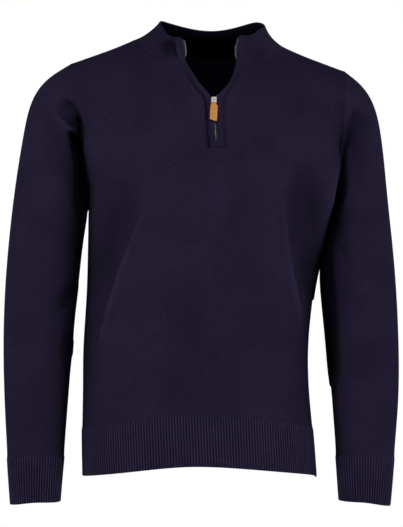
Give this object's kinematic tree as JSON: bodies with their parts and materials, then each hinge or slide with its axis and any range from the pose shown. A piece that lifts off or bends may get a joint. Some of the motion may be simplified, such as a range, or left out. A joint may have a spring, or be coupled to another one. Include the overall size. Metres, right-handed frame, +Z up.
{
  "type": "quarter zip sweater",
  "caption": "Long-sleeved knit sweater with a stand collar, a short front zip with a leather pull, and ribbed hem and cuffs, hollow and in its worn shape.",
  "frame": {"origin": "the middle of the neck, level with the tops of the shoulders, where a wearer carries the sweater", "axes": "+Z up; -Y towards the viewer, the way the front faces; +X to the viewer's right, which is the wearer's left"},
  "size_m": [0.6324, 0.2715, 0.774],
  "materials": {
    "navy_knit": "fine flat jersey knit, matt",
    "navy_rib": "upright ribbing, matt",
    "navy_tape": "woven zip tape, matt",
    "silver_metal": "polished silver-coloured metal",
    "tan_leather": "smooth tan leather, satin"
  },
  "bodies": {
    "garment": {"front": "navy_knit", "back": "navy_knit", "sleeve_left": "navy_knit", "sleeve_right": "navy_knit", "collar": "navy_knit", "hem_rib_front": "navy_rib", "hem_rib_back": "navy_rib", "cuff_left": "navy_rib", "cuff_right": "navy_rib", "zip_band_left": "navy_knit", "zip_band_right": "navy_knit", "zip_tape_left": "navy_tape", "zip_tape_right": "navy_tape", "slider": "silver_metal"},
    "pull": {"pull_ring": "silver_metal", "pull_tab": "tan_leather"}
  },
  "joints": [
    {"name": "pull_hinge", "type": "hinge", "parent": "garment", "child": "pull", "pos_m": [0.00484, -0.1156, -0.08785], "axis": [-0.998, 0.0132, 0.0614], "range_deg": [0, 165]}
  ]
}
